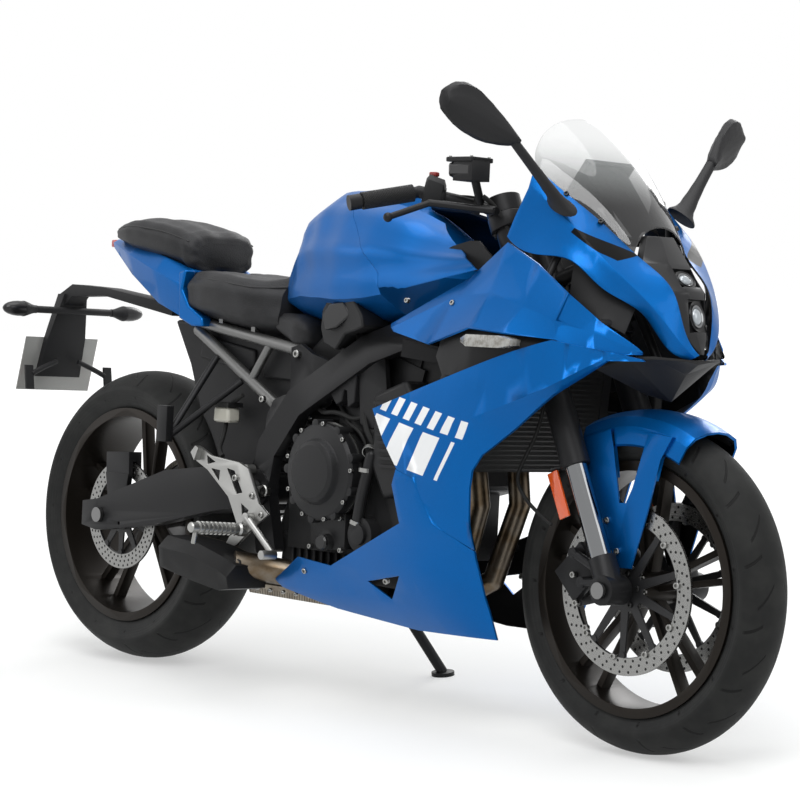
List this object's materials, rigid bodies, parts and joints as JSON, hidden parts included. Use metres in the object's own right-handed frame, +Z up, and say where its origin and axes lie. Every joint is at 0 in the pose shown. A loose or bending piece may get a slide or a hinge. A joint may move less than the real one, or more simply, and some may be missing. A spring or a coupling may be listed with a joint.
{
  "type": "sport bike",
  "caption": "Mid-size sport motorcycle with a full fairing, leaning on its side stand; the wheels roll, the fork steers and the stand folds.",
  "frame": {"origin": "on the floor, in the middle of the leaning bike's footprint", "axes": "+X forward, +Y to the rider's left, the side it leans to, +Z up"},
  "size_m": [2.158, 0.831, 1.2316],
  "materials": {
    "tyre": "rubber tread",
    "black_metal": "satin black coating",
    "silver_metal": "satin",
    "steel": "brushed",
    "frame_steel": "satin black",
    "grey_steel": "satin grey",
    "chrome": "polished",
    "blue_paint": "gloss blue",
    "black_plastic": "textured black",
    "grip_rubber": "soft black",
    "seat_vinyl": "matt charcoal",
    "clear": "clear",
    "red_lens": "red lens",
    "plate": "blank"
  },
  "bodies": {
    "chassis": {"belly_fairing": "blue_paint", "chain": "steel", "chin_panel": "black_plastic", "clutch_cover": "black_metal", "engine_block": "black_metal", "exhaust_chamber": "steel", "exhaust_header": "steel", "fairing_stay": "black_plastic", "foot_levers": "silver_metal", "front_indicators": "clear", "fuel_tank": "blue_paint", "headlamps": "clear", "inner_panels": "black_plastic", "instrument_panel": "black_plastic", "left_engine_covers": "black_metal", "licence_plate": "plate", "main_frame": "frame_steel", "mirrors": "black_plastic", "nose_cowl": "blue_paint", "nose_mask": "black_plastic", "pillion_pegs": "silver_metal", "pillion_seat": "seat_vinyl", "plate_hanger": "black_plastic", "radiator": "black_metal", "rear_axle": "steel", "rear_caliper": "black_metal", "rear_indicators": "clear", "rear_shock": "black_metal", "rearsets": "silver_metal", "rider_seat": "seat_vinyl", "side_fairings": "blue_paint", "subframe": "grey_steel", "swingarm": "black_metal", "tail_cowl": "blue_paint", "tail_lamp": "red_lens", "tank_covers": "blue_paint", "windscreen": "clear"},
    "steering": {"triple_clamps": "black_metal", "fork_outer_tubes": "black_metal", "fork_inner_tubes": "chrome", "fork_bottoms": "black_metal", "front_axle": "steel", "handlebars": "black_metal", "grips": "grip_rubber", "bar_controls": "black_plastic", "levers": "black_metal", "front_fender": "blue_paint", "front_calipers": "black_metal", "fork_reflectors": "red_lens"},
    "front_wheel": {"front_rim": "black_metal", "front_tyre": "tyre", "front_discs": "steel"},
    "rear_wheel": {"rear_rim": "black_metal", "rear_tyre": "tyre", "rear_disc": "steel", "rear_sprocket": "steel"},
    "side_stand": {"side_stand": "frame_steel"}
  },
  "joints": [
    {"name": "steering", "type": "hinge", "parent": "chassis", "child": "steering", "pos_m": [0.49116, -0.03322, 0.83939], "axis": [-0.4226, 0.1261, 0.8975], "range_deg": [-30, 30]},
    {"name": "front_wheel_spin", "type": "hinge", "parent": "steering", "child": "front_wheel", "pos_m": [0.77911, -0.10928, 0.2982], "axis": [0, 0.9903, -0.1392], "continuous": true},
    {"name": "rear_wheel_spin", "type": "hinge", "parent": "chassis", "child": "rear_wheel", "pos_m": [-0.6859, -0.10719, 0.31305], "axis": [0, 0.9903, -0.1392], "continuous": true},
    {"name": "stand_fold", "type": "hinge", "parent": "chassis", "child": "side_stand", "pos_m": [-0.0759, -0.00422, 0.24102], "axis": [0.2272, 0.8692, 0.4392], "range_deg": [0, 104]}
  ]
}
